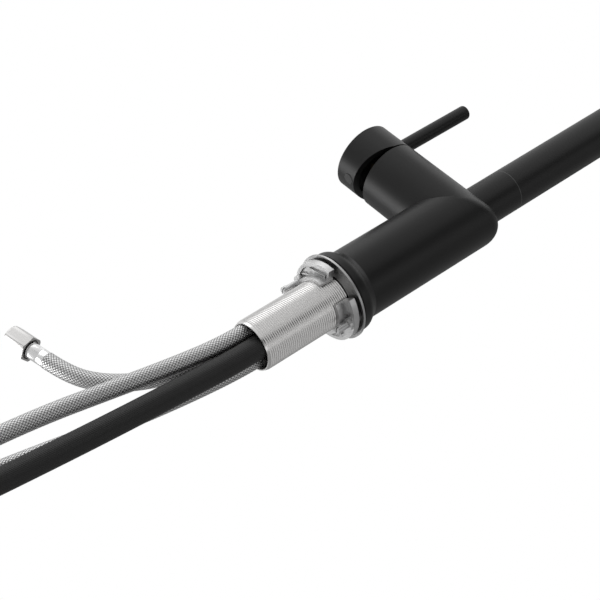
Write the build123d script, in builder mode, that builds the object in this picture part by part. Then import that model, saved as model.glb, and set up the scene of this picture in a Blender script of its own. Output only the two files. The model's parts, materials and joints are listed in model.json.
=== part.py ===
"""Pull-down kitchen faucet, held by its deck.

Millimetres. The origin is the centre of the deck face under the body, +Z runs up
the body, +X points to the lever side and the spout reaches towards -Y.
"""

import os
from math import acos, atan2, cos, degrees, pi, radians, sin, tan

from build123d import *

# ---------------------------------------------------------------- driving sizes
body_r = 23.6            # upright body
branch_r = 23.5          # level side branch
branch_z = 102.4         # height of the branch axis over the deck
branch_end = 60.0        # where the branch stops, along X
wall = 3.5
corner_r = 8.4           # rounding of the body's top corner
foot_r = 27.2            # flared foot ring
foot_top = 13.0          # the flare has run out into the body here
seal_low = 0.0           # the rubber seal is what meets the deck

shank_r = 17.0           # M34 x 1.5 thread, over its crests
shank_bore = 15.2
shank_low = -68.0
shank_top = 16.0
thread_pitch = 1.5

spout_r = 14.5
spout_bore = 12.9
seam_z = 152.8           # turning joint between collar and spout
arc_z = 400.0            # centre height of the spout's half circle
reach = 190.0            # body axis to spray head axis
spout_end = 386.0        # lower edge of the spout's outlet
head_low = 316.0         # lower edge of the spray head

hub_start = 60.7
hub_end = 85.0
hub_r = 23.4
lever_x = 74.0
lever_r = 5.0
lever_tip = 189.5
pivot_x = 55.0           # the stem tilts about this point on the branch axis
wedge_angle = 17.0       # taper of the hub's inner face, and the lever's lift
wedge_start = 4.0        # the taper starts this far over the branch axis

spray_hose_r = 7.5
supply_hose_r = 5.5
hose_cut = -62.0         # inner and outer runs of each hose meet here, in the shank
hose_places = {          # where each hose passes the shank
    "spray": (-6.0, 4.6),
    "cold": (6.9, 6.7),
    "hot": (-3.6, -8.9),
    "outlet": (8.0, -5.4),
}

running = 0.07           # radial clearance of a running fit
gap = 0.3                # air between parts that move past each other

os.makedirs("parts", exist_ok=True)
pieces = []


def finish(builder, name):
    """Label a finished piece and keep it for writing."""
    builder.part.label = name
    pieces.append(builder.part)


def disc_z(z0, z1, r_out, r_in=0.0, at=(0, 0), mode=Mode.ADD):
    """Round disc or ring about an upright axis."""
    with BuildSketch(Plane.XY.offset(z0)) as ring:
        with Locations(at):
            Circle(r_out)
            if r_in:
                Circle(r_in, mode=Mode.SUBTRACT)
    extrude(ring.sketch, amount=z1 - z0, mode=mode)


def disc_x(x0, x1, r_out, r_in=0.0, at=(0, 0), mode=Mode.ADD):
    """Round disc or ring about a level axis; at is (y, z) from the branch axis."""
    with BuildSketch(Plane.YZ.offset(x0)) as ring:
        with Locations((at[0], branch_z + at[1])):
            Circle(r_out)
            if r_in:
                Circle(r_in, mode=Mode.SUBTRACT)
    extrude(ring.sketch, amount=x1 - x0, mode=mode)


def turned(points, mode=Mode.ADD):
    """Solid of revolution about Z from a closed outline of (radius, z)."""
    with BuildSketch(Plane.XZ) as outline:
        with BuildLine():
            Polyline(*points, close=True)
        make_face()
    revolve(outline.sketch, axis=Axis.Z, mode=mode)


# ---------------------------------------------------------------- body and foot
def body_form(r_up, r_side, x_end, z_low):
    """Upright cylinder whose top is a level cylinder that runs on into the branch."""
    disc_x(-r_up - 1, r_up - 1, r_side)
    with BuildSketch(Plane.XY.offset(branch_z - 1)) as trim:
        Circle(r_up)
    extrude(trim.sketch, amount=r_side + 2, mode=Mode.INTERSECT)
    disc_z(z_low, branch_z, r_up)
    disc_x(0, x_end, r_side)


cavity_r = body_r - wall + 0.3
cartridge_bore = branch_r - wall - 0.4
collar_low = 113.0      # the collar reaches this far down inside the body

with BuildPart() as body_shell:
    body_form(body_r, branch_r, branch_end, foot_top)
    disc_z(branch_z - 40, branch_z + body_r + 5, spout_r, mode=Mode.SUBTRACT)
    disc_x(-9.5, branch_end + 1, cartridge_bore, mode=Mode.SUBTRACT)
    disc_z(foot_top - 1, branch_z, cavity_r, mode=Mode.SUBTRACT)
    top_corner = body_shell.edges().filter_by(GeomType.CIRCLE, reverse=True)
    top_corner = top_corner.filter_by(GeomType.LINE, reverse=True)
    fillet(top_corner.filter_by(lambda e: e.center().X < -20 and e.length > 40), corner_r)
    mouth = body_shell.faces().sort_by(Axis.X)[-1]
    chamfer(mouth.outer_wire().edges(), 0.5)
finish(body_shell, "body_shell")

seal_in, seal_out, seal_top = 20.5, 24.6, 2.2
shank_hole = shank_r + 0.4
foot_seat = 8.0         # the shank's flange stands over this ledge

with BuildPart() as base_ring:
    with BuildSketch(Plane.XZ) as foot_outline:
        with BuildLine():
            Polyline(
                (body_r, foot_top),
                (cavity_r, foot_top),
                (cavity_r, foot_seat),
                (shank_hole, foot_seat),
                (shank_hole, 0.6),
                (foot_r - 0.8, 0.6),
                (foot_r, 1.4),
                (foot_r, 4.6),
            )
            Spline(
                (foot_r, 4.6),
                (foot_r - 1.4, 8.8),
                (body_r, foot_top),
                tangents=((0, 1), (-0.25, 1)),
            )
        make_face()
    revolve(axis=Axis.Z)
    disc_z(0, seal_top, seal_out, seal_in, mode=Mode.SUBTRACT)
finish(base_ring, "base_ring")

with BuildPart() as base_seal:
    disc_z(seal_low, seal_top, seal_out, seal_in)
finish(base_seal, "base_seal")

shank_flange_z = 9.0
with BuildPart() as threaded_shank:
    disc_z(shank_low, shank_top, shank_r)
    disc_z(shank_flange_z, shank_top, cavity_r)
    disc_z(shank_low, shank_top, shank_bore, mode=Mode.SUBTRACT)
    low_rims = threaded_shank.edges().filter_by(GeomType.CIRCLE).group_by(Axis.Z)[0]
    chamfer(low_rims.sort_by(SortBy.RADIUS)[-1:], 0.9)
finish(threaded_shank, "threaded_shank")

# Brass block: a port plate for the hoses, a web, and the seat of the cartridge.
port_z0, port_z1 = 50.0, 59.0
seat_x = 27.8
port_r = 4.3
supply_ports = [hose_places[key] for key in ("cold", "hot", "outlet")]
cartridge_ports = [(5.6 * cos(a), 5.6 * sin(a)) for a in (radians(90), radians(210), radians(330))]

with BuildPart() as waterway_block:
    disc_z(port_z0, port_z1, cavity_r)
    with BuildSketch(Plane.XY.offset(port_z1)) as web:
        with Locations((15, 0)):
            Rectangle(7, 16)
    extrude(web.sketch, amount=branch_z - port_z1)
    disc_x(15.5, seat_x, cartridge_bore)
    disc_z(port_z0, port_z1, spray_hose_r + 0.4, at=hose_places["spray"], mode=Mode.SUBTRACT)
    for place in supply_ports:
        disc_z(port_z0, port_z1 - 1.5, port_r, at=place, mode=Mode.SUBTRACT)
    for place in cartridge_ports:
        disc_x(seat_x - 8, seat_x, 2.8, at=place, mode=Mode.SUBTRACT)
finish(waterway_block, "waterway_block")

# ---------------------------------------------------------------- cartridge
housing_r = 17.5
neck_r = 12.4
guide_r = 10.0
disc_room = 15.0

with BuildPart() as cartridge_seals:
    for place in cartridge_ports:
        disc_x(seat_x, seat_x + 1.2, 3.9, 2.8, at=place)
finish(cartridge_seals, "cartridge_seals")

with BuildPart() as cartridge_base:
    disc_x(seat_x + 0.2, 32, housing_r)
    for place in cartridge_ports:
        disc_x(seat_x + 0.2, seat_x + 1.2, 3.9, at=place, mode=Mode.SUBTRACT)
        disc_x(seat_x, 32, 2.8, at=place, mode=Mode.SUBTRACT)
finish(cartridge_base, "cartridge_base")

with BuildPart() as fixed_disc:
    disc_x(32, 36, disc_room)
    for place in cartridge_ports:
        disc_x(31, 37, 2.8, at=place, mode=Mode.SUBTRACT)
finish(fixed_disc, "fixed_disc")

with BuildPart() as moving_disc:
    disc_x(36.1, 39.5, 10.0)
    with BuildSketch(Plane.YZ.offset(36.1)) as mixing_pocket:
        with Locations((0, branch_z)):
            SlotOverall(13, 5)
    extrude(mixing_pocket.sketch, amount=1.8, mode=Mode.SUBTRACT)
finish(moving_disc, "moving_disc")

ball_x = 42.6
ball_r = 3.0
with BuildPart() as disc_carrier:
    disc_x(39.5, 44, 10.4)
    disc_x(39.5, 44, ball_r + gap, mode=Mode.SUBTRACT)
finish(disc_carrier, "disc_carrier")

with BuildPart() as cartridge_housing:
    disc_x(32, 51, housing_r)
    disc_x(51, 57.3, neck_r)
    disc_x(32, 48, disc_room, mode=Mode.SUBTRACT)
    disc_x(48, 57.3, guide_r, mode=Mode.SUBTRACT)
finish(cartridge_housing, "cartridge_housing")

stem_half = 3.7
slot_half = stem_half + 0.15
with BuildPart() as stem_guide:
    disc_x(44.6, 47.6, 12.5)
    disc_x(47.6, 58, guide_r - running)
    with BuildSketch(Plane.YZ.offset(44)) as stem_slot:
        with Locations((0, branch_z + 0.8)):
            Rectangle(2 * slot_half, 14.6)
    extrude(stem_slot.sketch, amount=15, mode=Mode.SUBTRACT)
    with BuildSketch(Plane.XZ.offset(-guide_r)) as pin_hole:
        with Locations((pivot_x, branch_z)):
            Circle(1.5)
    extrude(pin_hole.sketch, amount=2 * guide_r, mode=Mode.SUBTRACT)
finish(stem_guide, "stem_guide")

with BuildPart() as pivot_pin:
    with BuildSketch(Plane.XZ.offset(-guide_r + 0.6)) as pin_round:
        with Locations((pivot_x, branch_z)):
            Circle(1.5)
    extrude(pin_round.sketch, amount=2 * guide_r - 1.2)
finish(pivot_pin, "pivot_pin")

stem_top = 81.0
with BuildPart() as cartridge_stem:
    with BuildSketch(Plane.YZ.offset(46)) as stem_square:
        with Locations((0, branch_z)):
            RectangleRounded(2 * stem_half, 2 * stem_half, 0.8)
    extrude(stem_square.sketch, amount=stem_top - 46)
    disc_x(ball_x, 46, 2.0)
    with Locations((ball_x, 0, branch_z)):
        Sphere(ball_r)
    with BuildSketch(Plane.XZ.offset(-stem_half - 1)) as pivot_hole:
        with Locations((pivot_x, branch_z)):
            Circle(1.5 + running)
    extrude(pivot_hole.sketch, amount=2 * stem_half + 2, mode=Mode.SUBTRACT)
finish(cartridge_stem, "cartridge_stem")

with BuildPart() as cartridge_nut:
    disc_x(51, 57.2, cartridge_bore)
    disc_x(51, 57.2, neck_r, mode=Mode.SUBTRACT)
    for step in range(6):
        turn = radians(60 * step)
        disc_x(54.5, 57.2, 1.4, at=(16 * cos(turn), 16 * sin(turn)), mode=Mode.SUBTRACT)
finish(cartridge_nut, "cartridge_nut")

dome_r = 15.5
dome_wall = 1.5
dome_mouth = radians(38)      # half angle of the dome's opening
flange_x0, flange_x1 = 57.3, 58.8


def dome_point(radius, angle):
    """Point on a sphere about the pivot, at an angle from the branch axis."""
    return (pivot_x + radius * cos(angle), radius * sin(angle))


def dome_rim(radius, x):
    """Angle at which a sphere about the pivot crosses the plane at x."""
    return acos((x - pivot_x) / radius)


inner_r = dome_r - dome_wall
inner_rim = dome_rim(inner_r, flange_x0)
outer_rim = dome_rim(dome_r, flange_x1)
with BuildPart() as cartridge_dome:
    with BuildSketch(Plane((0, 0, branch_z), x_dir=(1, 0, 0), z_dir=(0, -1, 0))) as dome_outline:
        with BuildLine():
            inside = [dome_point(inner_r, a) for a in (inner_rim, (inner_rim + dome_mouth) / 2, dome_mouth)]
            outside = [dome_point(dome_r, a) for a in (dome_mouth, (outer_rim + dome_mouth) / 2, outer_rim)]
            ThreePointArc(*inside)
            Line(inside[-1], outside[0])
            ThreePointArc(*outside)
            Polyline(
                outside[-1],
                (flange_x1, cartridge_bore - 0.1),
                (flange_x0, cartridge_bore - 0.1),
                inside[0],
            )
        make_face()
    revolve(dome_outline.sketch, axis=Axis((0, 0, branch_z), (1, 0, 0)))
finish(cartridge_dome, "cartridge_dome")

# ---------------------------------------------------------------- handle
hub_room = 19.5
hub_floor = 70.3
screw_low = branch_z - hub_r
cap_depth = 3.4

with BuildPart() as handle_hub:
    disc_x(hub_start, hub_end, hub_r)
    chamfer(handle_hub.faces().sort_by(Axis.X)[-1].edges(), 0.6)
    disc_x(hub_start, hub_floor, hub_room, mode=Mode.SUBTRACT)
    with BuildSketch(Plane.XZ.offset(-hub_r - 1)) as wedge:
        with BuildLine():
            Polyline(
                (hub_start - 1, branch_z + wedge_start),
                (hub_start, branch_z + wedge_start),
                (hub_start + (wedge_start + hub_r + 2) * tan(radians(wedge_angle)), branch_z - hub_r - 2),
                (hub_start - 1, branch_z - hub_r - 2),
                close=True,
            )
        make_face()
    extrude(wedge.sketch, amount=2 * hub_r + 2, mode=Mode.SUBTRACT)
    with BuildSketch(Plane.YZ.offset(hub_floor)) as socket:
        with Locations((0, branch_z)):
            RectangleRounded(2 * stem_half, 2 * stem_half, 0.8)
    extrude(socket.sketch, amount=stem_top - hub_floor, mode=Mode.SUBTRACT)
    disc_z(branch_z + 21.4, branch_z + hub_r + 1, lever_r, at=(lever_x, 0), mode=Mode.SUBTRACT)
    disc_z(branch_z + 11, branch_z + 21.4, 3.0, at=(lever_x, 0), mode=Mode.SUBTRACT)
    disc_z(screw_low - 1, branch_z, 2.5, at=(lever_x, 0), mode=Mode.SUBTRACT)
    disc_z(screw_low - 1, screw_low + cap_depth, 4.0, at=(lever_x, 0), mode=Mode.SUBTRACT)
finish(handle_hub, "handle_hub")

with BuildPart() as lever_rod:
    disc_z(branch_z + 21.4, lever_tip, lever_r, at=(lever_x, 0))
    fillet(lever_rod.faces().sort_by(Axis.Z)[-1].edges(), 1.6)
    disc_z(branch_z + 11, branch_z + 21.4, 3.0, at=(lever_x, 0))
finish(lever_rod, "lever_rod")

with BuildPart() as set_screw:
    disc_z(screw_low + 4.5, branch_z - stem_half, 2.5, at=(lever_x, 0))
    with BuildSketch(Plane.XY.offset(screw_low + 4.5)) as key_socket:
        with Locations((lever_x, 0)):
            RegularPolygon(1.45, 6)
    extrude(key_socket.sketch, amount=2.5, mode=Mode.SUBTRACT)
finish(set_screw, "set_screw")

with BuildPart() as set_screw_cap:
    disc_z(screw_low - 0.2, screw_low + cap_depth, 4.0, at=(lever_x, 0))
    chamfer(set_screw_cap.faces().sort_by(Axis.Z)[0].edges(), 0.4)
finish(set_screw_cap, "set_screw_cap")

# ---------------------------------------------------------------- spout
collar_bore = 12.2
ring_z = seam_z - 0.4
sleeve_bore = 9.4

with BuildPart() as spout_collar:
    disc_z(collar_low, ring_z, spout_r, collar_bore)
finish(spout_collar, "spout_collar")

with BuildPart() as slip_ring:
    disc_z(ring_z, ring_z + 0.8, spout_r - 0.05, collar_bore + 0.2)
finish(slip_ring, "slip_ring")

with BuildPart() as thrust_washer:
    disc_z(collar_low - 1.8, collar_low, 14.2, collar_bore + 0.1)
finish(thrust_washer, "thrust_washer")

spout_low = ring_z + 0.9
with BuildPart() as spout_tube:
    with BuildLine() as spout_line:
        Line((0, 0, spout_low), (0, 0, arc_z))
        ThreePointArc((0, 0, arc_z), (0, -reach / 2, arc_z + reach / 2), (0, -reach, arc_z))
        Line((0, -reach, arc_z), (0, -reach, spout_end))
    with BuildSketch(Plane.XY.offset(spout_low)):
        Circle(spout_r)
        Circle(spout_bore, mode=Mode.SUBTRACT)
    sweep(path=spout_line.wires()[0])
finish(spout_tube, "spout_tube")

sleeve_r = collar_bore - 0.25
ring_bands = [(116.5, 121.5), (143.0, 148.0)]
clip_z = (109.4, 110.9)
with BuildPart() as spout_sleeve:
    disc_z(107, spout_low, sleeve_r)
    disc_z(spout_low, spout_low + 22, spout_bore)
    disc_z(107, spout_low + 22, sleeve_bore, mode=Mode.SUBTRACT)
    for low, high in ring_bands:
        disc_z(low, high, sleeve_r, 11.2, mode=Mode.SUBTRACT)
    disc_z(*clip_z, sleeve_r, 10.9, mode=Mode.SUBTRACT)
finish(spout_sleeve, "spout_sleeve")

with BuildPart() as bearing_rings:
    for low, high in ring_bands:
        disc_z(low, high, collar_bore - running, 11.2)
finish(bearing_rings, "bearing_rings")

with BuildPart() as retaining_clip:
    disc_z(*clip_z, 13.8, 10.9)
    with BuildSketch(Plane.XY.offset(clip_z[0])) as clip_gap:
        with Locations((0, 13)):
            Rectangle(4, 7)
    extrude(clip_gap.sketch, amount=clip_z[1] - clip_z[0], mode=Mode.SUBTRACT)
finish(retaining_clip, "retaining_clip")

neck_top = spout_end + 11
plug_r = 10.3
with BuildPart() as dock_socket:
    disc_z(spout_end, arc_z, spout_bore, at=(0, -reach))
    disc_z(spout_end, arc_z, plug_r + gap, at=(0, -reach), mode=Mode.SUBTRACT)
finish(dock_socket, "dock_socket")

# ---------------------------------------------------------------- spray head
head_top = spout_end - 0.3
head_r = 15.6
shell_wall = 2.0
face_z = head_low + 2.0
button_z = head_low + 40.0
button_half = 8.0        # half the distance between the button's end rounds
button_r = 5.2
core_r = 11.0

with BuildPart() as head_shell:
    with BuildSketch(Plane.XZ.offset(reach)) as shell_outline:
        with BuildLine():
            Polyline(
                (0, head_top),
                (spout_r, head_top),
                (spout_r, head_top - 14),
                (head_r, head_top - 34),
                (head_r, head_low + 1.2),
                (head_r - 1.2, head_low),
                (0, head_low),
                close=True,
            )
        make_face()
    revolve(shell_outline.sketch, axis=Axis((0, -reach, 0), (0, 0, 1)))
    disc_z(head_low, head_top - 34, head_r - shell_wall, at=(0, -reach), mode=Mode.SUBTRACT)
    disc_z(head_top - 34, head_top, spout_bore - 0.4, at=(0, -reach), mode=Mode.SUBTRACT)
    with BuildSketch(Plane.XZ.offset(reach + core_r - 1)) as button_window:
        with Locations((0, button_z)):
            SlotCenterToCenter(2 * button_half, 2 * (button_r + gap), rotation=90)
    extrude(button_window.sketch, amount=12, mode=Mode.SUBTRACT)
finish(head_shell, "head_shell")

fitting_r = 8.0
fitting_z = (spout_end - 24, spout_end - 8)
with BuildPart() as head_neck:
    disc_z(spout_end - 14, head_top, spout_bore - 0.4, at=(0, -reach))
    disc_z(head_top, neck_top, plug_r, at=(0, -reach))
    disc_z(spout_end - 14, neck_top, fitting_r + 0.25, at=(0, -reach), mode=Mode.SUBTRACT)
finish(head_neck, "head_neck")

with BuildPart() as hose_end_fitting:
    disc_z(fitting_z[0] + 3, fitting_z[1], fitting_r, at=(0, -reach))
    disc_z(fitting_z[0], fitting_z[0] + 3, 10.5, at=(0, -reach))
    disc_z(fitting_z[0], fitting_z[1], 4.2, at=(0, -reach), mode=Mode.SUBTRACT)
finish(hose_end_fitting, "hose_end_fitting")

core_top = fitting_z[0] - 0.4
with BuildPart() as head_core:
    disc_z(face_z + 8, core_top, core_r, at=(0, -reach))
    disc_z(core_top - 14, core_top, 5.0, at=(0, -reach), mode=Mode.SUBTRACT)
    disc_z(face_z + 8, face_z + 13, head_r - shell_wall, at=(0, -reach))
finish(head_core, "head_core")

with BuildPart() as spray_button:
    with BuildSketch(Plane.XZ.offset(reach + core_r + 2.2)) as button_outline:
        with Locations((0, button_z)):
            SlotCenterToCenter(2 * button_half, 2 * button_r, rotation=90)
    extrude(button_outline.sketch, amount=head_r - core_r - 0.8)
    fillet(spray_button.faces().sort_by(Axis.Y)[0].edges(), 0.8)
finish(spray_button, "spray_button")

nozzle_rings = [(8.4, 12), (11.2, 18)]
nozzle_spots = [
    (ring * cos(2 * pi * step / count), -reach + ring * sin(2 * pi * step / count))
    for ring, count in nozzle_rings
    for step in range(count)
]
aerator_r = 6.2
with BuildPart() as face_plate:
    disc_z(face_z - 1.2, face_z + 1.4, head_r - shell_wall, at=(0, -reach))
    disc_z(face_z - 1.2, face_z + 1.4, aerator_r, at=(0, -reach), mode=Mode.SUBTRACT)
    with BuildSketch(Plane.XY.offset(face_z - 1.2)) as nozzle_holes:
        with Locations(*nozzle_spots):
            Circle(0.8)
    extrude(nozzle_holes.sketch, amount=2.6, mode=Mode.SUBTRACT)
finish(face_plate, "face_plate")

with BuildPart() as nozzle_mat:
    disc_z(face_z + 1.4, face_z + 3.0, head_r - shell_wall - 0.2, aerator_r, at=(0, -reach))
    with BuildSketch(Plane.XY.offset(face_z - 2.0)) as nozzles:
        with Locations(*nozzle_spots):
            Circle(0.8)
    extrude(nozzles.sketch, amount=3.6)
finish(nozzle_mat, "nozzle_mat")

with BuildPart() as aerator:
    disc_z(face_z - 0.9, face_z + 7.5, aerator_r, at=(0, -reach))
    with BuildSketch(Plane.XY.offset(face_z - 0.9)) as grid_holes:
        with Locations((0, -reach)):
            with HexLocations(1.35, 3, 3):
                Circle(0.85)
    extrude(grid_holes.sketch, amount=5, mode=Mode.SUBTRACT)
finish(aerator, "aerator")

# ---------------------------------------------------------------- clamp under the deck
with BuildPart() as rubber_washer:
    disc_z(-0.9, -0.1, 26.4, shank_hole)
finish(rubber_washer, "rubber_washer")

washer_r = 28.8
washer_low = -1.9
with BuildPart() as steel_washer:
    disc_z(washer_low, -0.9, washer_r, shank_r + gap)
    disc_z(washer_low - 0.4, washer_low, washer_r, washer_r - 1.8)
finish(steel_washer, "steel_washer")

nut_top = -4.2
nut_bore = shank_r + running
collar_out = 19.6
nut_low = -14.0
ear_r = 26.8
ear_low = -8.2
ear_floor = -6.6
ear_rim = 2.2
ear_spans = [(-40, 93), (140, 273)]   # degrees from +X, seen from above
rib_lines = [((22.3, 7.2), (1.7, 19.9)), ((16.3, 16.3), (1.8, 20.7))]
screw_turns = [2, 182]
screw_lows = [-23.5, -19.0]
screw_ring = 22.3
screw_r = 2.1
boss_low = -10.5


def sector(r_in, r_out, start, end, z_high, height, mode=Mode.ADD):
    """Part of a flat ring between two angles, hanging down from z_high."""
    first, middle, last = radians(start), radians((start + end) / 2), radians(end)
    with BuildSketch(Plane.XY.offset(z_high)) as part_ring:
        with BuildLine():
            ThreePointArc(*[(r_out * cos(a), r_out * sin(a)) for a in (first, middle, last)])
            Line((r_out * cos(last), r_out * sin(last)), (r_in * cos(last), r_in * sin(last)))
            ThreePointArc(*[(r_in * cos(a), r_in * sin(a)) for a in (last, middle, first)])
            Line((r_in * cos(first), r_in * sin(first)), (r_out * cos(first), r_out * sin(first)))
        make_face()
    extrude(part_ring.sketch, amount=-height, mode=mode)


with BuildPart() as mounting_nut:
    sector(nut_bore, collar_out, 140, 453, nut_top, nut_top - nut_low)
    for start, end in ear_spans:
        sector(nut_bore, ear_r, start, end, nut_top, nut_top - ear_low)
        sector(collar_out, ear_r - ear_rim, start + 4, end - 4, ear_floor, 5, mode=Mode.SUBTRACT)
    for first, last in rib_lines:
        run = Vector(*last) - Vector(*first)
        middle = (Vector(*last) + Vector(*first)) / 2
        with BuildSketch(Plane.XY.offset(ear_low)) as ribs:
            with PolarLocations(0, 2):
                with Locations((middle.X, middle.Y)):
                    SlotOverall(run.length, 0.9, rotation=degrees(atan2(run.Y, run.X)))
        extrude(ribs.sketch, amount=nut_top - ear_low)
    for turn in screw_turns:
        side = (screw_ring * cos(radians(turn)), screw_ring * sin(radians(turn)))
        disc_z(boss_low, nut_top, screw_r + 2.1, at=side)
        disc_z(boss_low, nut_top, screw_r + running, at=side, mode=Mode.SUBTRACT)
    disc_z(nut_low, nut_top, nut_bore, mode=Mode.SUBTRACT)
finish(mounting_nut, "mounting_nut")

screw_names = ["jack_screw_lever_side", "jack_screw_far_side"]
for turn, low, name in zip(screw_turns, screw_lows, screw_names):
    side = (screw_ring * cos(radians(turn)), screw_ring * sin(radians(turn)))
    with BuildPart() as jack_screw:
        disc_z(low, washer_low - 0.1, screw_r, at=side)
        disc_z(low, low + 3.4, screw_r + 0.5, at=side)
        chamfer(jack_screw.faces().sort_by(Axis.Z)[0].edges(), 0.6)
        with BuildSketch(Plane.XY.offset(low)) as driver_slot:
            with Locations(side):
                Rectangle(0.9, 8)
        extrude(driver_slot.sketch, amount=1.6, mode=Mode.SUBTRACT)
    finish(jack_screw, name)


# ---------------------------------------------------------------- hoses
def route_radii(points):
    """One tangent arc for each corner of a hose's route, as large as its runs allow."""
    radii = []
    for before, corner, after in zip(points, points[1:], points[2:]):
        run_in = Vector(*corner) - Vector(*before)
        run_out = Vector(*after) - Vector(*corner)
        half_turn = radians(run_in.get_angle(run_out)) / 2
        radii.append(0.45 * min(run_in.length, run_out.length) / tan(half_turn))
    return radii


def hose(points, radius, name):
    """Round hose along a route of straight runs joined by tangent arcs."""
    radii = route_radii(points)
    with BuildLine() as route:
        FilletPolyline(*points, radius=radii)
    line = route.wires()[0]
    start = Plane(origin=line @ 0, z_dir=line % 0)
    with BuildPart() as tube:
        with BuildSketch(start) as section:
            Circle(radius)
        sweep(section.sketch, path=line)
    share = tube.part.volume / (pi * radius ** 2 * line.length)
    print(f"{name}: length {line.length:.1f}, volume share {share:.4f}, smallest radius {min(radii):.0f}")
    finish(tube, name)
    return Plane(origin=line @ 1, z_dir=line % 1)


# Outer runs: each starts inside the shank and hangs down from it.
spray_tail_route = [
    (*hose_places["spray"], hose_cut),
    (*hose_places["spray"], -86),
    (-3.2, 5.0, -125),
    (0.6, 5.5, -176),
    (5.0, 6.4, -226),
    (11.0, 7.5, -286),
    (13.5, 8.5, -350),
    (12.0, 8.0, -415),
    (8.0, 6.5, -480),
    (6.0, 5.0, -540),
    (6.5, 4.0, -600),
]
cold_route = [
    (*hose_places["cold"], hose_cut),
    (*hose_places["cold"], -84),
    (12.2, 8.1, -121),
    (20.6, 9.1, -163),
    (27.6, 10.1, -199),
    (33.0, 11.0, -244),
    (35.5, 12.0, -296),
    (35.0, 12.0, -350),
    (31.5, 11.0, -404),
    (28.0, 12.5, -458),
    (28.0, 12.5, -510),
]
hot_route = [
    (*hose_places["hot"], hose_cut),
    (*hose_places["hot"], -80),
    (2.6, -10.0, -124),
    (10.8, -11.2, -164),
    (21.0, -12.8, -202),
    (31.0, -14.4, -244),
    (37.0, -15.5, -294),
    (38.5, -15.6, -346),
    (36.0, -14.5, -398),
    (32.0, -13.0, -450),
    (30.0, -13.5, -500),
]
outlet_route = [
    (*hose_places["outlet"], hose_cut),
    (*hose_places["outlet"], -82),
    (14.6, -7.0, -106),
    (24.6, -8.4, -130.5),
    (39.6, -9.6, -149),
    (57.6, -10.4, -160),
    (76.0, -11.2, -163),
]

tail_end = hose(spray_tail_route, spray_hose_r, "spray_hose_tail")
cold_end = hose(cold_route, supply_hose_r, "cold_hose")
hot_end = hose(hot_route, supply_hose_r, "hot_hose")
outlet_end = hose(outlet_route, supply_hose_r, "outlet_hose")

# Inner runs: the supply hoses rise straight to their nipples, and the spray hose
# swings to the body's middle and goes up the spout.
nipple_low = 26.0
with BuildPart() as supply_hose_runs:
    for place in supply_ports:
        disc_z(hose_cut, nipple_low, supply_hose_r, at=place)
finish(supply_hose_runs, "supply_hose_runs")

with BuildPart() as hose_nipples:
    for place in supply_ports:
        disc_z(nipple_low, 40, supply_hose_r, at=place)
        with BuildSketch(Plane.XY.offset(40)) as nipple_hex:
            with Locations(place):
                RegularPolygon(4.9, 6, major_radius=False)
        extrude(nipple_hex.sketch, amount=port_z0 - 40)
        disc_z(port_z0, port_z1 - 2, port_r, at=place)
finish(hose_nipples, "hose_nipples")

swing_top = 100.0
inner_cut = 106.0
body_run = [
    (*hose_places["spray"], hose_cut),
    (*hose_places["spray"], 62),
    (0, 0, swing_top),
    (0, 0, inner_cut),
]
with BuildPart() as spray_hose_in_body:
    with BuildLine() as body_line:
        FilletPolyline(*body_run, radius=[90, 60])
    with BuildSketch(Plane.XY.offset(hose_cut)) as hose_round:
        with Locations(hose_places["spray"]):
            Circle(spray_hose_r)
    sweep(hose_round.sketch, path=body_line.wires()[0])
finish(spray_hose_in_body, "spray_hose_in_body")

with BuildPart() as spray_hose_in_spout:
    with BuildLine() as spout_run:
        Line((0, 0, inner_cut), (0, 0, arc_z))
        ThreePointArc((0, 0, arc_z), (0, -reach / 2, arc_z + reach / 2), (0, -reach, arc_z))
    with BuildSketch(Plane.XY.offset(inner_cut)):
        Circle(spray_hose_r)
    sweep(path=spout_run.wires()[0])
finish(spray_hose_in_spout, "spray_hose_in_spout")

with BuildPart() as spray_hose_at_outlet:
    disc_z(fitting_z[1], arc_z, spray_hose_r, at=(0, -reach))
finish(spray_hose_at_outlet, "spray_hose_at_outlet")


# ---------------------------------------------------------------- hose ends
def ring_on(place, low, high, r_out, r_in=0.0, mode=Mode.ADD):
    """Disc or ring along a hose end, measured outwards from where the hose stops."""
    with BuildSketch(place.offset(low)) as ring:
        Circle(r_out)
        if r_in:
            Circle(r_in, mode=Mode.SUBTRACT)
    extrude(ring.sketch, amount=high - low, mode=mode)


class HoseEnd:
    """Crimped ferrule with a coned nose, and the hexagon nut that turns on it."""

    def __init__(self, place, flats, bore_r, nut_length):
        self.place = place
        self.flats = flats
        self.bore_r = bore_r
        self.nut_low = 14.0
        self.nut_high = self.nut_low + nut_length
        self.nose = self.nut_low + 6.0
        self.thread_low = self.nose + 4.2

    def ferrule(self, name):
        with BuildPart() as sleeve:
            ring_on(self.place, 0, self.nut_low + 1.5, supply_hose_r)
            chamfer(sleeve.edges().filter_by(GeomType.CIRCLE), 0.5)
            ring_on(self.place, 1, self.nose, 3.9)
            ring_on(self.place, self.nose, self.nose + 2.2, self.bore_r - gap)
        finish(sleeve, name)

    def nut(self, name):
        with BuildPart() as hexagon:
            with BuildSketch(self.place.offset(self.nut_low)) as flats:
                RegularPolygon(self.flats / 2, 6, major_radius=False)
            extrude(flats.sketch, amount=self.nut_high - self.nut_low)
            ring_on(self.place, self.nut_low, self.nut_low + 3.4, supply_hose_r + 0.9, mode=Mode.SUBTRACT)
            ring_on(self.place, self.nut_low, self.nose - gap, 3.9 + running, mode=Mode.SUBTRACT)
            ring_on(self.place, self.nose - gap, self.thread_low, self.bore_r + 0.4, mode=Mode.SUBTRACT)
            ring_on(self.place, self.thread_low, self.nut_high, self.bore_r, mode=Mode.SUBTRACT)
        finish(hexagon, name)

    def gasket(self):
        ring_on(self.place, self.nose + 2.2, self.nose + 4.0, self.bore_r - gap, self.bore_r - 2.4)


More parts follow.
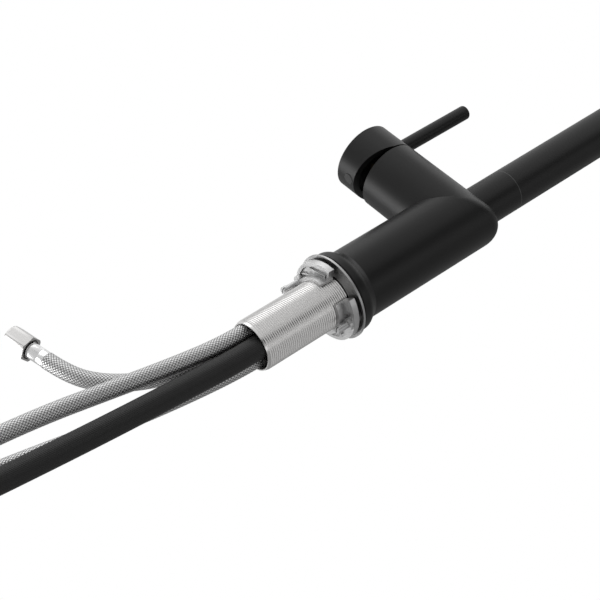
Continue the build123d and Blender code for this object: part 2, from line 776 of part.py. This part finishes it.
supply_ends = {
    "cold": HoseEnd(cold_end, 19.0, 7.6, 17.0),
    "hot": HoseEnd(hot_end, 19.0, 7.6, 17.0),
    "outlet": HoseEnd(outlet_end, 15.0, 6.1, 16.8),
}
for key, end in supply_ends.items():
    end.ferrule(f"{key}_ferrule")
    end.nut(f"{key}_nut")

with BuildPart() as hose_gaskets:
    for end in supply_ends.values():
        end.gasket()
finish(hose_gaskets, "hose_gaskets")

with BuildPart() as spray_tail_ferrule:
    ring_on(tail_end, 0, 18, spray_hose_r + 0.5)
    chamfer(spray_tail_ferrule.edges().filter_by(GeomType.CIRCLE), 0.6)
finish(spray_tail_ferrule, "spray_tail_ferrule")

with BuildPart() as spray_tail_connector:
    with BuildSketch(tail_end.offset(18)) as connector_flats:
        RegularPolygon(7.0, 6, major_radius=False)
    extrude(connector_flats.sketch, amount=6)
    ring_on(tail_end, 24, 35, 6.0)
    chamfer(spray_tail_connector.faces().sort_by(Axis.Z)[0].edges(), 0.8)
    ring_on(tail_end, 18, 35, 3.2, mode=Mode.SUBTRACT)
finish(spray_tail_connector, "spray_tail_connector")

for piece in pieces:
    export_step(piece, f"parts/{piece.label}.step")
print(len(pieces), "pieces")
for key, end in supply_ends.items():
    print(key, "hose stops at", end.place.origin, "along", end.place.z_dir)
print("spray tail stops at", tail_end.origin, "along", tail_end.z_dir)
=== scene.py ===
import json
import math

import bpy
import numpy as np
from mathutils import Matrix, Vector


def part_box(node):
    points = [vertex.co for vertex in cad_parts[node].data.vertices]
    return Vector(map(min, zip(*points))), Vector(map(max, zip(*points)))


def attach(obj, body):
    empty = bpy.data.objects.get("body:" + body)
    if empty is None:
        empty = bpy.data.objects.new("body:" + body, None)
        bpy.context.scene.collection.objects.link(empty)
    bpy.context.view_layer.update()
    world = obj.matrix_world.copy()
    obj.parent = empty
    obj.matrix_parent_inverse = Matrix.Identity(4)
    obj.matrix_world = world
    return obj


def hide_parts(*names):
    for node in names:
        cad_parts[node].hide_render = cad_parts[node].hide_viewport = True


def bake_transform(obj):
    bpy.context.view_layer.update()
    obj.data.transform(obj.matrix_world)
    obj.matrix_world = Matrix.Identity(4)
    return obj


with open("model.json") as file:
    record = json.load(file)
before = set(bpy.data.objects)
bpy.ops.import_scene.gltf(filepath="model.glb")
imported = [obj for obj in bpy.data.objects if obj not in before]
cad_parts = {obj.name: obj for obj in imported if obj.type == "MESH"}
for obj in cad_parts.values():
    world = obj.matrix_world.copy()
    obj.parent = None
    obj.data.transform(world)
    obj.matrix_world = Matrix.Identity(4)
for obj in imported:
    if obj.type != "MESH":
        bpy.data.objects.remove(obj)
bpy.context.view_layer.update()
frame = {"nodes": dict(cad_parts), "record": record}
nodes = frame["nodes"]
mm = 0.001
bodyOf = {name: body for body, names in frame["record"]["behaviour"]["bodies"].items() for name in names}


# Camera and light

cameraSet = {
    "place": (-0.502, 0.745, -0.514),
    "right": (-0.6599, 0.0439, 0.7501),
    "up": (0.5631, 0.6897, 0.4551),
    "lens": 100.4,             # in mm
}
lightSet = {
    "background": (1.0, 1.0, 1.0, 1),
    "keySide": (0.88, 0.88, 0.88, 1),
    "farSide": (0.36, 0.36, 0.36, 1),
    "flag": (0.01, 0.01, 0.01, 1),
    "flagTurn": 0.02,          # the dark band sits this far round from the lens, in turns
    "flagWidth": 0.045,
    "sideBlend": 3.0,          # how fast the key side turns into the far side
    "overhead": (0.80, 1.0),   # strength from straight below to straight above
}


def makeCamera():
    data = bpy.data.cameras.new("camera")
    data.lens = cameraSet["lens"]
    camera = bpy.data.objects.new("camera", data)
    bpy.context.scene.collection.objects.link(camera)
    right, up = Vector(cameraSet["right"]), Vector(cameraSet["up"])
    facing = Matrix((right, up, right.cross(up))).transposed()
    camera.matrix_world = Matrix.Translation(cameraSet["place"]) @ facing.to_4x4()
    bpy.context.scene.camera = camera


# Node helpers: a socket that can be added, scaled and compared, and the tree it belongs to

class Wire:
    def __init__(self, tree, socket):
        self.tree = tree
        self.socket = socket

    def maths(self, operation, *others):
        return self.tree.node("ShaderNodeMath", {"operation": operation}, [self, *others])

    def __add__(self, other):
        return self.maths("ADD", other)

    def __radd__(self, other):
        return self.maths("ADD", other)

    def __mul__(self, other):
        return self.maths("MULTIPLY", other)

    def __rmul__(self, other):
        return self.maths("MULTIPLY", other)

    def __sub__(self, other):
        return self.maths("SUBTRACT", other)

    def __rsub__(self, other):
        return self.tree.node("ShaderNodeMath", {"operation": "SUBTRACT"}, [other, self])

    def __truediv__(self, other):
        return self.maths("DIVIDE", other)

    def __pow__(self, other):
        return self.maths("POWER", other)

    def __abs__(self):
        return self.maths("ABSOLUTE")


class NodeTree:
    def __init__(self, tree):
        self.tree = tree
        tree.nodes.clear()

    def node(self, kind, settings=None, values=(), output=0):
        made = self.tree.nodes.new(kind)
        for key, value in (settings or {}).items():
            if key == "stops":
                for spot, (at, shade) in enumerate(value):
                    stop = made.color_ramp.elements
                    stop = stop[spot] if spot < len(stop) else stop.new(at)
                    stop.position, stop.color = at, shade
            else:
                setattr(made, key, value)
        pairs = values.items() if isinstance(values, dict) else enumerate(values)
        for key, value in pairs:
            if isinstance(value, Wire):
                self.tree.links.new(value.socket, made.inputs[key])
            else:
                made.inputs[key].default_value = value
        return Wire(self, made.outputs[output])

    def mix(self, share, first, second):
        settings = {"data_type": "RGBA", "clamp_factor": True}
        return self.node("ShaderNodeMix", settings, {0: share, 6: first, 7: second}, 2)

    def place(self, kind="Object"):
        outputs = {"Generated": 0, "Object": 3}
        return self.node("ShaderNodeTexCoord", output=outputs[kind])

    def noise(self, scale, detail=2.0, rough=0.5, at=None):
        values = {"Vector": at or self.place(), "Scale": scale, "Detail": detail, "Roughness": rough}
        return self.node("ShaderNodeTexNoise", None, values)

    def apart(self, vector):
        return [self.node("ShaderNodeSeparateXYZ", None, [vector], spot) for spot in range(3)]


class Finish(NodeTree):
    def __init__(self, name, **fixed):
        self.material = bpy.data.materials.new(name)
        self.material.use_nodes = True
        super().__init__(self.material.node_tree)
        self.shader = self.tree.nodes.new("ShaderNodeBsdfPrincipled")
        out = self.tree.nodes.new("ShaderNodeOutputMaterial")
        self.tree.links.new(self.shader.outputs[0], out.inputs[0])
        for key, value in fixed.items():
            socket = self.shader.inputs[key.replace("_", " ")]
            socket.default_value = (*value, 1) if isinstance(value, tuple) else value

    def drive(self, key, wire):
        self.tree.links.new(wire.socket, self.shader.inputs[key])

    def bump(self, height, depth, strength=1.0):
        values = {"Strength": strength, "Distance": depth, "Height": height}
        self.drive("Normal", self.node("ShaderNodeBump", None, values))


def grey(level, warmth=0.0):
    return (level * (1 + warmth), level, level * (1 - warmth), 1)


def makeWorld():
    world = bpy.data.worlds.new("studio")
    world.use_nodes = True
    bpy.context.scene.world = world
    tree = NodeTree(world.node_tree)
    x, y, z = tree.apart(tree.place("Generated"))
    turn = y.maths("ARCTAN2", x) / (2 * math.pi)
    lens = cameraSet["place"]
    lensTurn = math.atan2(lens[1], lens[0]) / (2 * math.pi)
    # how far round from the lens a direction lies, from -0.5 on the lever side to 0.5 on the far side
    off = (turn - lensTurn + 1.5).maths("FRACT") - 0.5
    side = off.maths("MULTIPLY_ADD", lightSet["sideBlend"], 0.5)
    studio = tree.mix(side, lightSet["keySide"], lightSet["farSide"])
    overhead = tree.node("ShaderNodeMapRange", None, [z, -0.9, 1.0, *lightSet["overhead"]])
    flagShare = abs(off - lightSet["flagTurn"]) / lightSet["flagWidth"]
    flag = 1 - (flagShare ** 2).maths("MINIMUM", 1.0)
    shade = tree.mix(flag, studio, lightSet["flag"])
    room = tree.node("ShaderNodeBackground", None, [shade, overhead])
    paper = tree.node("ShaderNodeBackground", None, [lightSet["background"], 1.0])
    seen = tree.node("ShaderNodeLightPath")
    both = tree.node("ShaderNodeMixShader", None, [seen, room, paper])
    out = tree.tree.nodes.new("ShaderNodeOutputWorld")
    tree.tree.links.new(both.socket, out.inputs[0])


lampSet = {
    "keyLamp": {"place": (1.5, 0.9, 0.2), "size": (1.2, 1.8), "power": 7.0, "aim": (0, 0, 0.05)},
    "topLamp": {"place": (0.3, 0.6, 1.9), "size": (1.6, 1.2), "power": 4.0, "aim": (0, 0, 0.05)},
    "fillLamp": {"place": (-1.6, 0.5, 0.3), "size": (0.5, 1.8), "power": 1.5, "aim": (0, 0, 0.05)},
    "lowLamp": {"place": (0.5, -0.27, -0.7), "size": (0.5, 0.35), "power": 2.7, "aim": (0.06, 0, 0.1)},
}


def makeLamp(name, look):
    data = bpy.data.lights.new(name, "AREA")
    data.shape = "RECTANGLE"
    data.size, data.size_y = look["size"]
    data.energy = look["power"]
    lamp = bpy.data.objects.new(name, data)
    bpy.context.scene.collection.objects.link(lamp)
    lamp.location = look["place"]
    direction = Vector(look["aim"]) - Vector(look["place"])
    lamp.rotation_euler = direction.to_track_quat("-Z", "Y").to_euler()


makeCamera()
makeWorld()
for name, look in lampSet.items():
    makeLamp(name, look)
print("camera and light are set")


# Mesh helpers

def addMesh(name, points, faces, smooth=True, uv=None):
    data = bpy.data.meshes.new(name)
    data.from_pydata(points.tolist() if hasattr(points, "tolist") else points, [], faces)
    data.polygons.foreach_set("use_smooth", [smooth] * len(data.polygons))
    if uv is not None:
        layer = data.uv_layers.new(name=uv[0])
        layer.data.foreach_set("uv", np.asarray(uv[1], np.float32).ravel())
    data.update()
    piece = bpy.data.objects.new(name, data)
    bpy.context.scene.collection.objects.link(piece)
    return piece


def gridFaces(rows, around, closedRows=False):
    row, spot = np.meshgrid(np.arange(rows if closedRows else rows - 1), np.arange(around), indexing="ij")
    nextRow, nextSpot = (row + 1) % rows, (spot + 1) % around
    corners = [
        row * around + spot, row * around + nextSpot,
        nextRow * around + nextSpot, nextRow * around + spot,
    ]
    return np.stack(corners, -1).reshape(-1, 4)


def addGrid(name, points, uv=None, closedRows=False, caps=False):
    rows, around = points.shape[:2]
    faces = gridFaces(rows, around, closedRows)
    corners = None
    if uv is not None:
        uvName, across, along = uv
        row, spot = faces // around, np.tile([0, 1, 1, 0], (len(faces), 1)) + (faces[:, :1] % around)
        corners = (uvName, np.stack([spot * across / around, along[row]], -1))
    faceList = faces.tolist()
    if caps:
        faceList += [list(range(around))[::-1], list(range((rows - 1) * around, rows * around))]
        if corners:
            corners = (uvName, np.vstack([corners[1].reshape(-1, 2), np.zeros((2 * around, 2))]))
    return addMesh(name, points.reshape(-1, 3), faceList, True, corners)


def sharpen(piece, degrees=32):
    piece.data.set_sharp_from_angle(angle=math.radians(degrees))
    return piece


def turnedPoints(profile, around, shape=None):
    turn = np.linspace(0, 2 * math.pi, around, endpoint=False)
    rows = []
    for radius, height in profile:
        reach = np.full(around, radius) if shape is None else shape(turn, radius)
        rows.append(np.stack([reach * np.cos(turn), reach * np.sin(turn), np.full(around, height)], -1))
    return np.array(rows)


def dress(piece, node, rides=True):
    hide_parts(node)
    if rides:
        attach(piece, bodyOf[node])
    piece.data.materials.append(finishes[slotOf[node]])
    return piece


slotOf = {part["node"]: part["material_slot"] for part in frame["record"]["subparts"]}


# Finishes

powderCoat = {
    "dark": 0.0045, "light": 0.0075,
    "rough": 0.40, "roughRange": 0.07,
    "mottle": 38, "grain": 2100,
}


def makePowderCoat():
    finish = Finish("blackPowderCoat", Specular_IOR_Level=0.3)
    cloud = finish.noise(powderCoat["mottle"], 4)
    finish.drive("Base Color", finish.mix(cloud, grey(powderCoat["dark"]), grey(powderCoat["light"])))
    finish.drive("Roughness", powderCoat["rough"] + (cloud - 0.5) * powderCoat["roughRange"])
    finish.bump(finish.noise(powderCoat["grain"], 2), 0.00001)
    return finish


def makePlastic(name, shades, rough, grain):
    finish = Finish(name)
    cloud = finish.noise(90, 3)
    finish.drive("Base Color", finish.mix(cloud, *shades))
    finish.drive("Roughness", rough + (cloud - 0.5) * 0.12)
    finish.bump(finish.noise(grain, 3), 0.00002)
    return finish


def makeMetal(name, first, second, rough, grain, depth):
    finish = Finish(name, Metallic=1.0)
    cloud = finish.noise(120, 4)
    finish.drive("Base Color", finish.mix(cloud, first, second))
    finish.drive("Roughness", rough + (cloud - 0.5) * rough * 0.5)
    finish.bump(finish.noise(grain, 3), depth)
    return finish


brushed = {"light": 0.52, "dark": 0.34, "rough": 0.30, "lines": 5200, "depth": 0.000012}


def makeBrushedSteel():
    finish = Finish("brushedSteel", Metallic=1.0, Anisotropic=0.7)
    x, y = finish.apart(finish.place())[:2]
    radius = (x * x + y * y) ** 0.5
    lines = finish.node("ShaderNodeTexNoise", {"noise_dimensions": "1D"},
                        {"W": radius * brushed["lines"], "Scale": 1.0, "Detail": 2.0})
    finish.drive("Base Color", finish.mix(lines, grey(brushed["dark"]), grey(brushed["light"])))
    finish.drive("Roughness", brushed["rough"] + (lines - 0.5) * 0.15)
    finish.bump(lines, brushed["depth"])
    return finish


# A braid's place is laid in its UVs: u counts strands round the hose and v counts crossings along it.
# the darkest braid colour, used in the crevices between strands, is painted shade
steelBraid = {"carriers": 16, "pitch": 2.2, "wires": 5, "relief": 0.2, "shade": 0.74, "gap": 0.045}


def makeSteelBraid():
    finish = Finish("steelBraid", Metallic=0.92)
    lay = finish.node("ShaderNodeUVMap", {"uv_map": "braid"})
    u, v = finish.apart(lay)[:2]
    rising, falling = u + v, u - v
    crossing = rising.maths("FLOOR") + falling.maths("FLOOR")
    upper = crossing.maths("FLOORED_MODULO", 2.0).maths("GREATER_THAN", 0.5)
    risingArch = abs((rising * math.pi).maths("SINE"))
    fallingArch = abs((falling * math.pi).maths("SINE"))
    onTop = risingArch ** 0.7 * fallingArch ** 0.35
    under = fallingArch ** 0.7 * risingArch ** 0.35
    strand = onTop * (1 - upper) + under * upper
    wires = steelBraid["wires"] * math.pi
    fine = abs((rising * wires).maths("SINE")) * (1 - upper) + abs((falling * wires).maths("SINE")) * upper
    height = strand * (0.8 + fine * 0.2)
    # Base colour follows the relief: dark in the crevices, mid on the strand flanks, light on the strand
    # tops, so the crevices and flanks carry painted shade.
    creviceShadedTone = finish.node("ShaderNodeValToRGB", {"stops": [(0.12, grey(steelBraid["gap"])), (0.5, grey(0.42)),
                                                         (0.82, grey(steelBraid["shade"]))]}, [height])
    finish.drive("Base Color", creviceShadedTone)
    finish.drive("Roughness", 0.42 - height * 0.16)
    finish.bump(height, 0.0002, 0.75)
    return finish


nylonBraid = {"carriers": 24, "pitch": 1.5, "ribs": 48, "relief": 0.11}


def makeNylonBraid():
    finish = Finish("nylonBraid", Specular_IOR_Level=0.4)
    lay = finish.node("ShaderNodeUVMap", {"uv_map": "braid"})
    u, v = finish.apart(lay)[:2]
    rising, falling = (u + v) * math.pi, (u - v) * math.pi
    cross = abs(rising.maths("SINE")) * abs(falling.maths("SINE"))
    rib = abs((u * (math.pi * nylonBraid["ribs"] / nylonBraid["carriers"])).maths("SINE"))
    height = rib * 0.62 + cross * 0.38
    # base colour is darker where the braid is low, in the grooves between ribs and crossings: painted shade
    finish.drive("Base Color", finish.mix(height, grey(0.0025), grey(0.011)))
    finish.drive("Roughness", 0.52 - height * 0.14)
    finish.bump(height, 0.00016, 0.8)
    return finish


def makeThreaded(name, shade, rough, pitch, depth):
    finish = Finish(name, Metallic=1.0)
    height = finish.apart(finish.place())[2]
    turns = abs((height * (math.pi / (pitch * mm))).maths("SINE"))
    # base colour is darker in the thread roots: painted shade in the grooves
    finish.drive("Base Color", finish.mix(turns, grey(shade * 0.55), grey(shade)))
    finish.drive("Roughness", rough + turns * 0.06)
    finish.bump(turns, depth * mm)
    return finish


def makeRubber(name, shade, rough):
    finish = Finish(name, Specular_IOR_Level=0.3)
    cloud = finish.noise(260, 4, 0.6)
    finish.drive("Base Color", finish.mix(cloud, grey(shade * 0.7), grey(shade * 1.3)))
    finish.drive("Roughness", rough + (cloud - 0.5) * 0.15)
    finish.bump(finish.noise(3000, 2), 0.00003)
    return finish


lappedCeramic = ((0.80, 0.78, 0.73, 1), (0.86, 0.84, 0.80, 1))
paleMoulding = ((0.62, 0.62, 0.60, 1), (0.70, 0.70, 0.68, 1))
slots = {
    "black_finish": makePowderCoat(),
    "black_plastic": makePlastic("blackPlastic", (grey(0.014), grey(0.0189)), 0.46, 2600),
    "slip_nylon": makePlastic("slipNylon", (grey(0.03), grey(0.0405)), 0.4, 1800),
    "nickel_thread": makeMetal("nickelPlate", grey(0.70, 0.01), grey(0.80, 0.01), 0.21, 1500, 0.000006),
    "brass": makeMetal("turnedBrass", (0.62, 0.42, 0.18, 1), (0.74, 0.53, 0.25, 1), 0.3, 1800, 0.00001),
    "steel": makeBrushedSteel(),
    "zinc_cast": makeMetal("dieCastZinc", grey(0.50), grey(0.60), 0.36, 900, 0.00003),
    "screw_steel": makeThreaded("screwSteel", 0.70, 0.26, 0.8, 0.12),
    "plated_nut": makeMetal("nickelNut", grey(0.46, 0.01), grey(0.54, 0.01), 0.32, 1400, 0.00001),
    "plated_ferrule": makeMetal("crimpedFerrule", grey(0.80), grey(0.88), 0.24, 700, 0.00001),
    "steel_braid": makeSteelBraid(),
    "nylon_braid": makeNylonBraid(),
    "rubber": makeRubber("blackRubber", 0.018, 0.7),
    "ceramic": makePlastic("lappedCeramic", lappedCeramic, 0.18, 800),
    "cartridge_body": makePlastic("cartridgeMoulding", paleMoulding, 0.35, 1500),
    "silicone": makeRubber("softSilicone", 0.06, 0.5),
    "hose_inner": makeRubber("hoseRubber", 0.03, 0.6),
}
finishes = {name: finish.material for name, finish in slots.items()}
for name, piece in nodes.items():
    piece.data.materials.clear()
    piece.data.materials.append(finishes[slotOf[name]])
    piece.data.set_sharp_from_angle(angle=math.radians(30))
print("finishes are on the frame")


# Hoses. Each route is a list of points in metres, from inside the shank outwards

placeSet = {
    "spray": (-0.0060, 0.0046),
    "cold": (0.0069, 0.0067),
    "hot": (-0.0036, -0.0089),
    "outlet": (0.0080, -0.0054),
}
hoseCut = -0.062
routes = {
    "spray": [
        (*placeSet["spray"], hoseCut),
        (*placeSet["spray"], -0.086),
        (-0.0032, 0.0050, -0.125),
        (0.0006, 0.0055, -0.176),
        (0.0050, 0.0064, -0.226),
        (0.0110, 0.0075, -0.286),
        (0.0135, 0.0085, -0.350),
        (0.0120, 0.0080, -0.415),
        (0.0080, 0.0065, -0.480),
        (0.0060, 0.0050, -0.540),
        (0.0065, 0.0040, -0.600),
    ],
    "cold": [
        (*placeSet["cold"], hoseCut),
        (*placeSet["cold"], -0.084),
        (0.0122, 0.0081, -0.121),
        (0.0206, 0.0091, -0.163),
        (0.0276, 0.0101, -0.199),
        (0.0330, 0.0110, -0.244),
        (0.0355, 0.0120, -0.296),
        (0.0350, 0.0120, -0.350),
        (0.0315, 0.0110, -0.404),
        (0.0280, 0.0125, -0.458),
        (0.0280, 0.0125, -0.510),
    ],
    "hot": [
        (*placeSet["hot"], hoseCut),
        (*placeSet["hot"], -0.080),
        (0.0026, -0.0100, -0.124),
        (0.0108, -0.0112, -0.164),
        (0.0210, -0.0128, -0.202),
        (0.0310, -0.0144, -0.244),
        (0.0370, -0.0155, -0.294),
        (0.0385, -0.0156, -0.346),
        (0.0360, -0.0145, -0.398),
        (0.0320, -0.0130, -0.450),
        (0.0300, -0.0135, -0.500),
    ],
    "outlet": [
        (*placeSet["outlet"], hoseCut),
        (*placeSet["outlet"], -0.082),
        (0.0146, -0.0070, -0.106),
        (0.0246, -0.0084, -0.1305),
        (0.0396, -0.0096, -0.149),
        (0.0576, -0.0104, -0.160),
        (0.0760, -0.0112, -0.163),
    ],
}
hoseSet = {
    "supplyRadius": 5.4, "supplyAround": 96, "supplyStep": 0.55,
    "sprayRadius": 7.4, "sprayAround": 144, "sprayStep": 1.6,
}


def smoothLine(points, step):
    data = bpy.data.curves.new("route", "CURVE")
    data.dimensions = "3D"
    data.resolution_u = 20
    spline = data.splines.new("NURBS")
    spline.points.add(len(points) - 1)
    for spot, point in zip(spline.points, points):
        spot.co = (*point, 1)
    spline.order_u = 3
    spline.use_endpoint_u = True
    holder = bpy.data.objects.new("route", data)
    mesh = bpy.data.meshes.new_from_object(holder)
    line = np.array([tuple(vertex.co) for vertex in mesh.vertices])
    bpy.data.objects.remove(holder)
    bpy.data.curves.remove(data)
    bpy.data.meshes.remove(mesh)
    reach = np.concatenate([[0], np.cumsum(np.linalg.norm(np.diff(line, axis=0), axis=1))])
    spots = np.linspace(0, reach[-1], int(reach[-1] / (step * mm)) + 1)
    return np.stack([np.interp(spots, reach, line[:, axis]) for axis in range(3)], -1), spots


def frames(line):
    along = np.gradient(line, axis=0)
    along /= np.linalg.norm(along, axis=1)[:, None]
    side = np.cross(along[0], (0.0, 1.0, 0.0))
    sides = []
    for direction in along:
        side = side - direction * (side @ direction)
        side /= np.linalg.norm(side)
        sides.append(side)
    sides = np.array(sides)
    return along, sides, np.cross(along, sides)


def tubePoints(line, around, radius):
    along, sides, ups = frames(line)
    turn = np.linspace(0, 2 * math.pi, around, endpoint=False)
    reach = radius if np.ndim(radius) == 2 else np.full((len(line), around), radius)
    ring = np.cos(turn)[None, :, None] * sides[:, None] + np.sin(turn)[None, :, None] * ups[:, None]
    return line[:, None] + ring * reach[:, :, None]


def braidRelief(spots, around, look):
    u = np.arange(around)[None, :] * look["carriers"] / around
    v = spots[:, None] / (look["pitch"] * mm)
    rising, falling = u + v, u - v
    under = (np.floor(rising) + np.floor(falling)) % 2 > 0.5
    risingArch, fallingArch = abs(np.sin(math.pi * rising)), abs(np.sin(math.pi * falling))
    onTop = risingArch ** 0.7 * fallingArch ** 0.35
    return np.where(under, fallingArch ** 0.7 * risingArch ** 0.35, onTop)


def makeBraidedHose(key):
    line, spots = smoothLine(routes[key], hoseSet["supplyStep"])
    around = hoseSet["supplyAround"]
    relief = braidRelief(spots, around, steelBraid) - 0.5
    radius = (hoseSet["supplyRadius"] + relief * steelBraid["relief"]) * mm
    lay = ("braid", steelBraid["carriers"], spots / (steelBraid["pitch"] * mm))
    hose = addGrid(f"{key}.hose.braid", tubePoints(line, around, radius), lay, caps=True)
    dress(hose, f"{key}_hose")
    return hose, line, spots[-1]


def makeRibbedHose(name, line, spots, node, rides=True):
    around = hoseSet["sprayAround"]
    u = np.arange(around)[None, :] / around
    rib = abs(np.sin(math.pi * nylonBraid["ribs"] * u)) + np.zeros((len(line), 1))
    radius = (hoseSet["sprayRadius"] + (rib - 0.5) * nylonBraid["relief"]) * mm
    lay = ("braid", nylonBraid["carriers"], spots / (nylonBraid["pitch"] * mm))
    hose = addGrid(name, tubePoints(line, around, radius), lay, caps=True)
    return dress(hose, node, rides)


braidedHoses = {key: makeBraidedHose(key) for key in ("cold", "hot", "outlet")}
sprayLine, spraySpots = smoothLine(routes["spray"], hoseSet["sprayStep"])
sprayTail = makeRibbedHose("spray.tail.braid", sprayLine, spraySpots, "spray_hose_tail")
print("hoses hang from the shank")


# Hose ends: crimped ferrule and hexagon nut

endSet = {
    "cold": {"flats": 19.0, "bore": 7.6, "length": 17.0, "turn": 0.2},
    "hot": {"flats": 19.0, "bore": 7.6, "length": 17.0, "turn": 0.35},
    "outlet": {"flats": 15.0, "bore": 6.1, "length": 16.8, "turn": 0.12},
}
nutStart = 14.0       # along the hose end, in mm
nose = 20.0           # where the seat under the nut's thread is
neck = 3.98           # bore that the ferrule's neck turns in


cornerShare = 0.985   # the hexagon's corners are eased back by this much


def standOnEnd(points, key):
    line = braidedHoses[key][1]
    direction = Vector(line[-1] - line[-2]).normalized()
    turnTo = direction.to_track_quat("Z", "X").to_matrix()
    return points @ np.array(turnTo).T + line[-1]


def hexReach(flats, turnBy):
    def reach(turn, radius):
        inSector = (turn + turnBy) % (math.pi / 3) - math.pi / 6
        side = flats / 2 / np.cos(inSector)
        return np.minimum(np.minimum(side, flats / math.sqrt(3) * cornerShare), radius)
    return reach


def threadRows(low, high, radius, depth, pitch, around):
    turn = np.linspace(0, 1, around, endpoint=False)
    rows = []
    for height in np.linspace(low, high, int(abs(high - low) / pitch * 8) + 1):
        wave = np.clip(abs(((height / pitch - turn) % 1) * 2 - 1) * 1.5 - 0.25, 0, 1)
        fade = min(1.0, abs(height - low) / pitch, abs(high - height) / pitch)
        reach = radius + depth * wave * fade
        rows.append(np.stack([reach * np.cos(turn * 2 * math.pi), reach * np.sin(turn * 2 * math.pi),
                              np.full(around, height)], -1))
    return np.array(rows)


def makeHexNut(key, look, around=96):
    half, bore, length = look["flats"] / 2, look["bore"], look["length"]
    reach = hexReach(look["flats"], look["turn"])
    corner = look["flats"] / math.sqrt(3)
    recess, recessDepth, relief = 6.4, 3.4, bore + 0.4
    threadStart, reliefStart = nose + 4.2 - nutStart, nose - 0.3 - nutStart
    outside = [
        (corner - 0.5, 0), (corner, 0.3), (corner, length - 1.3),
        (half + 0.35, length - 0.35), (half - 0.1, length),
    ]
    inside = [
        (relief, threadStart), (relief, reliefStart), (neck, reliefStart), (neck, recessDepth),
        (recess, recessDepth), (recess, 0.25), (recess + 0.25, 0),
    ]
    rows = np.concatenate([
        turnedPoints(outside, around, reach),
        turnedPoints([(bore + 0.3, length), (bore, length - 0.3)], around),
        threadRows(length - 0.4, threadStart, bore - 0.35, 0.35, 1.3, around),
        turnedPoints(inside, around),
    ])
    rows[:, :, 2] += nutStart
    nut = sharpen(addGrid(f"{key}.hexagon.nut", standOnEnd(rows * mm, key), closedRows=True), 24)
    return dress(nut, f"{key}_nut")


ferruleSet = {"bore": 2.4, "sleeve": 5.22, "length": 15.5, "stem": 3.9, "crimps": [(4.4, 5.12), (12.6, 5.1)]}


def makeFerrule(key, look, around=72):
    bore, sleeve, stem = ferruleSet["bore"], ferruleSet["sleeve"], ferruleSet["stem"]
    length, flange = ferruleSet["length"], look["bore"] - 0.3
    profile = [(bore, 0.0), (5.0, 0.0), (sleeve, 0.25)]
    for low, crimped in ferruleSet["crimps"]:
        profile += [(sleeve, low), (crimped, low + 0.2), (crimped, low + 0.5), (sleeve, low + 0.7)]
    profile += [
        (sleeve, length - 0.3), (4.9, length), (stem, length), (stem, nose), (flange, nose),
        (flange, nose + 1.6), (flange - 1.6, nose + 2.2), (bore, nose + 2.2),
    ]
    points = standOnEnd(turnedPoints(profile, around) * mm, key)
    ferrule = sharpen(addGrid(f"{key}.ferrule.sleeve", points, closedRows=True), 28)
    return dress(ferrule, f"{key}_ferrule")


for key, look in endSet.items():
    nut, ferrule = makeHexNut(key, look), makeFerrule(key, look)
print("hose ends are made")


# Threaded shank

shankSet = {
    "crest": 17.0, "depth": 0.62, "pitch": 1.5, "bore": 15.2, "around": 144,
    "low": -68.0, "threadTop": -1.2,
    "flange": 20.3, "flangeLow": 9.0, "top": 15.8,
}


def makeShank():
    look = shankSet
    low, around = look["low"], look["around"]
    bore, flange, flangeLow = look["bore"], look["flange"], look["flangeLow"]
    start = [(bore, look["top"]), (bore, low + 0.5), (bore + 0.3, low), (16.15, low)]
    rootRadius = look["crest"] - look["depth"]
    top = [
        (rootRadius, look["threadTop"] + 0.1), (rootRadius, flangeLow),
        (flange, flangeLow), (flange, look["top"]),
    ]
    rows = np.concatenate([
        turnedPoints(start, around),
        threadRows(low + 0.8, look["threadTop"], rootRadius, look["depth"], look["pitch"], around),
        turnedPoints(top, around),
    ])
    shank = addGrid("shank.thread", rows * mm, closedRows=True)
    return dress(sharpen(shank, 50), "threaded_shank")


makeShank()
print("shank is threaded")


# Spray hose where it leaves the spout: the real hose lengthens as the head is pulled down; here it is a
# fixed straight ribbed tube

def makeOutletHose():
    low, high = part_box("spray_hose_at_outlet")
    centre = (low + high) / 2
    count = 60
    heights = np.linspace(high.z, low.z, count)
    line = np.stack([np.full(count, centre.x), np.full(count, centre.y), heights], -1)
    spots = np.linspace(0, high.z - low.z, count)
    hose = makeRibbedHose("spray.hose.outlet", line, spots, "spray_hose_at_outlet", rides=False)
    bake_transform(hose)


makeOutletHose()
print("spray hose leaves the spout")


# Floor

floorSet = {"height": -0.80, "size": 6.0, "shade": 0.86}


def makeFloor():
    half = floorSet["size"] / 2
    points = np.array([(-half, -half, 0), (half, -half, 0), (half, half, 0), (-half, half, 0)])
    points[:, 2] = floorSet["height"]
    floor = addMesh("studioFloor", points, [(0, 1, 2, 3)], False)
    finish = Finish("paleFloor", Roughness=0.8)
    cloud = finish.noise(3, 3)
    finish.drive("Base Color", finish.mix(cloud, grey(floorSet["shade"] * 0.99), grey(floorSet["shade"])))
    floor.data.materials.append(finish.material)


makeFloor()
print("floor is laid")

bpy.context.scene.view_settings.view_transform = "Standard"
